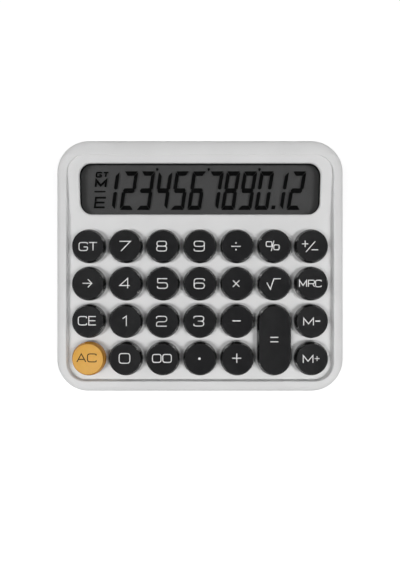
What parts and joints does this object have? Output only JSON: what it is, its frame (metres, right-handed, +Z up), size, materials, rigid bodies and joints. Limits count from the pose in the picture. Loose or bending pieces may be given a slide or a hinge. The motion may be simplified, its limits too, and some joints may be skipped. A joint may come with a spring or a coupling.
{
  "type": "desktop calculator",
  "caption": "Wedge-shaped desktop calculator with a wide display window, a sunken deck of round sprung keys and one tall key.",
  "frame": {"origin": "on the table under the middle of the calculator's bounding box", "axes": "+X to the right of someone using it, +Y towards the display end, +Z up; the key deck rises 6 degrees towards +Y"},
  "size_m": [0.1502, 0.1312, 0.0321],
  "materials": {
    "shell": "fine satin moulded shell, pale grey",
    "dark_key": "near-black satin face with a glossier edge",
    "amber_key": "satin amber",
    "clear_pane": "clear acrylic, polished",
    "display_glass": "dark grey polarised glass with black segments",
    "holder": "black moulded frame",
    "reflector": "thin satin foil",
    "rubber": "matt dark rubber",
    "foam": "closed-cell foam",
    "silicone": "matt translucent silicone",
    "board": "green lacquered laminate",
    "resin": "black potting resin",
    "steel": "bright zinc-plated steel",
    "cell": "printed steel jacket"
  },
  "bodies": {
    "case": {"top_cover": "shell", "bottom_cover": "shell", "display_window": "clear_pane", "display_holder": "holder", "display_glass": "display_glass", "display_reflector": "reflector", "elastomer_connector": "rubber", "foam_strip": "foam", "dome_sheet": "silicone", "circuit_board": "board", "controller_chip": "resin", "battery_cell": "cell", "spring_contact": "steel", "plate_contact": "steel", "case_screw_1": "steel", "case_screw_2": "steel", "case_screw_3": "steel", "case_screw_4": "steel", "case_screw_5": "steel", "case_screw_6": "steel", "board_screw_1": "steel", "board_screw_2": "steel", "board_screw_3": "steel", "board_screw_4": "steel", "foot_1": "rubber", "foot_2": "rubber", "foot_3": "rubber", "foot_4": "rubber"},
    "battery_door": {"battery_door": "shell"},
    "grand_total_key": {"key_grand_total": "dark_key"},
    "7_key": {"key_7": "dark_key"},
    "8_key": {"key_8": "dark_key"},
    "9_key": {"key_9": "dark_key"},
    "divide_key": {"key_divide": "dark_key"},
    "percent_key": {"key_percent": "dark_key"},
    "sign_key": {"key_sign": "dark_key"},
    "backspace_key": {"key_backspace": "dark_key"},
    "4_key": {"key_4": "dark_key"},
    "5_key": {"key_5": "dark_key"},
    "6_key": {"key_6": "dark_key"},
    "multiply_key": {"key_multiply": "dark_key"},
    "square_root_key": {"key_square_root": "dark_key"},
    "memory_recall_key": {"key_memory_recall": "dark_key"},
    "clear_entry_key": {"key_clear_entry": "dark_key"},
    "1_key": {"key_1": "dark_key"},
    "2_key": {"key_2": "dark_key"},
    "3_key": {"key_3": "dark_key"},
    "minus_key": {"key_minus": "dark_key"},
    "equals_key": {"key_equals": "dark_key"},
    "memory_minus_key": {"key_memory_minus": "dark_key"},
    "all_clear_key": {"key_all_clear": "amber_key"},
    "0_key": {"key_0": "dark_key"},
    "00_key": {"key_00": "dark_key"},
    "point_key": {"key_point": "dark_key"},
    "plus_key": {"key_plus": "dark_key"},
    "memory_plus_key": {"key_memory_plus": "dark_key"}
  },
  "joints": [
    {"name": "press_grand_total", "type": "slide", "parent": "case", "child": "grand_total_key", "axis": [0, 0.1045, -0.9945], "range_m": [0, 0.0024], "stiffness_N_per_m": 120, "springref_m": -0.003, "deforming": ["dome_sheet"]},
    {"name": "press_7", "type": "slide", "parent": "case", "child": "7_key", "axis": [0, 0.1045, -0.9945], "range_m": [0, 0.0024], "stiffness_N_per_m": 120, "springref_m": -0.003, "deforming": ["dome_sheet"]},
    {"name": "press_8", "type": "slide", "parent": "case", "child": "8_key", "axis": [0, 0.1045, -0.9945], "range_m": [0, 0.0024], "stiffness_N_per_m": 120, "springref_m": -0.003, "deforming": ["dome_sheet"]},
    {"name": "press_9", "type": "slide", "parent": "case", "child": "9_key", "axis": [0, 0.1045, -0.9945], "range_m": [0, 0.0024], "stiffness_N_per_m": 120, "springref_m": -0.003, "deforming": ["dome_sheet"]},
    {"name": "press_divide", "type": "slide", "parent": "case", "child": "divide_key", "axis": [0, 0.1045, -0.9945], "range_m": [0, 0.0024], "stiffness_N_per_m": 120, "springref_m": -0.003, "deforming": ["dome_sheet"]},
    {"name": "press_percent", "type": "slide", "parent": "case", "child": "percent_key", "axis": [0, 0.1045, -0.9945], "range_m": [0, 0.0024], "stiffness_N_per_m": 120, "springref_m": -0.003, "deforming": ["dome_sheet"]},
    {"name": "press_sign", "type": "slide", "parent": "case", "child": "sign_key", "axis": [0, 0.1045, -0.9945], "range_m": [0, 0.0024], "stiffness_N_per_m": 120, "springref_m": -0.003, "deforming": ["dome_sheet"]},
    {"name": "press_backspace", "type": "slide", "parent": "case", "child": "backspace_key", "axis": [0, 0.1045, -0.9945], "range_m": [0, 0.0024], "stiffness_N_per_m": 120, "springref_m": -0.003, "deforming": ["dome_sheet"]},
    {"name": "press_4", "type": "slide", "parent": "case", "child": "4_key", "axis": [0, 0.1045, -0.9945], "range_m": [0, 0.0024], "stiffness_N_per_m": 120, "springref_m": -0.003, "deforming": ["dome_sheet"]},
    {"name": "press_5", "type": "slide", "parent": "case", "child": "5_key", "axis": [0, 0.1045, -0.9945], "range_m": [0, 0.0024], "stiffness_N_per_m": 120, "springref_m": -0.003, "deforming": ["dome_sheet"]},
    {"name": "press_6", "type": "slide", "parent": "case", "child": "6_key", "axis": [0, 0.1045, -0.9945], "range_m": [0, 0.0024], "stiffness_N_per_m": 120, "springref_m": -0.003, "deforming": ["dome_sheet"]},
    {"name": "press_multiply", "type": "slide", "parent": "case", "child": "multiply_key", "axis": [0, 0.1045, -0.9945], "range_m": [0, 0.0024], "stiffness_N_per_m": 120, "springref_m": -0.003, "deforming": ["dome_sheet"]},
    {"name": "press_square_root", "type": "slide", "parent": "case", "child": "square_root_key", "axis": [0, 0.1045, -0.9945], "range_m": [0, 0.0024], "stiffness_N_per_m": 120, "springref_m": -0.003, "deforming": ["dome_sheet"]},
    {"name": "press_memory_recall", "type": "slide", "parent": "case", "child": "memory_recall_key", "axis": [0, 0.1045, -0.9945], "range_m": [0, 0.0024], "stiffness_N_per_m": 120, "springref_m": -0.003, "deforming": ["dome_sheet"]},
    {"name": "press_clear_entry", "type": "slide", "parent": "case", "child": "clear_entry_key", "axis": [0, 0.1045, -0.9945], "range_m": [0, 0.0024], "stiffness_N_per_m": 120, "springref_m": -0.003, "deforming": ["dome_sheet"]},
    {"name": "press_1", "type": "slide", "parent": "case", "child": "1_key", "axis": [0, 0.1045, -0.9945], "range_m": [0, 0.0024], "stiffness_N_per_m": 120, "springref_m": -0.003, "deforming": ["dome_sheet"]},
    {"name": "press_2", "type": "slide", "parent": "case", "child": "2_key", "axis": [0, 0.1045, -0.9945], "range_m": [0, 0.0024], "stiffness_N_per_m": 120, "springref_m": -0.003, "deforming": ["dome_sheet"]},
    {"name": "press_3", "type": "slide", "parent": "case", "child": "3_key", "axis": [0, 0.1045, -0.9945], "range_m": [0, 0.0024], "stiffness_N_per_m": 120, "springref_m": -0.003, "deforming": ["dome_sheet"]},
    {"name": "press_minus", "type": "slide", "parent": "case", "child": "minus_key", "axis": [0, 0.1045, -0.9945], "range_m": [0, 0.0024], "stiffness_N_per_m": 120, "springref_m": -0.003, "deforming": ["dome_sheet"]},
    {"name": "press_equals", "type": "slide", "parent": "case", "child": "equals_key", "axis": [0, 0.1045, -0.9945], "range_m": [0, 0.0024], "stiffness_N_per_m": 120, "springref_m": -0.003, "deforming": ["dome_sheet"]},
    {"name": "press_memory_minus", "type": "slide", "parent": "case", "child": "memory_minus_key", "axis": [0, 0.1045, -0.9945], "range_m": [0, 0.0024], "stiffness_N_per_m": 120, "springref_m": -0.003, "deforming": ["dome_sheet"]},
    {"name": "press_all_clear", "type": "slide", "parent": "case", "child": "all_clear_key", "axis": [0, 0.1045, -0.9945], "range_m": [0, 0.0024], "stiffness_N_per_m": 120, "springref_m": -0.003, "deforming": ["dome_sheet"]},
    {"name": "press_0", "type": "slide", "parent": "case", "child": "0_key", "axis": [0, 0.1045, -0.9945], "range_m": [0, 0.0024], "stiffness_N_per_m": 120, "springref_m": -0.003, "deforming": ["dome_sheet"]},
    {"name": "press_00", "type": "slide", "parent": "case", "child": "00_key", "axis": [0, 0.1045, -0.9945], "range_m": [0, 0.0024], "stiffness_N_per_m": 120, "springref_m": -0.003, "deforming": ["dome_sheet"]},
    {"name": "press_point", "type": "slide", "parent": "case", "child": "point_key", "axis": [0, 0.1045, -0.9945], "range_m": [0, 0.0024], "stiffness_N_per_m": 120, "springref_m": -0.003, "deforming": ["dome_sheet"]},
    {"name": "press_plus", "type": "slide", "parent": "case", "child": "plus_key", "axis": [0, 0.1045, -0.9945], "range_m": [0, 0.0024], "stiffness_N_per_m": 120, "springref_m": -0.003, "deforming": ["dome_sheet"]},
    {"name": "press_memory_plus", "type": "slide", "parent": "case", "child": "memory_plus_key", "axis": [0, 0.1045, -0.9945], "range_m": [0, 0.0024], "stiffness_N_per_m": 120, "springref_m": -0.003, "deforming": ["dome_sheet"]},
    {"name": "slide_battery_door", "type": "slide", "parent": "case", "child": "battery_door", "axis": [0, 1, 0], "range_m": [0, 0.02]}
  ]
}
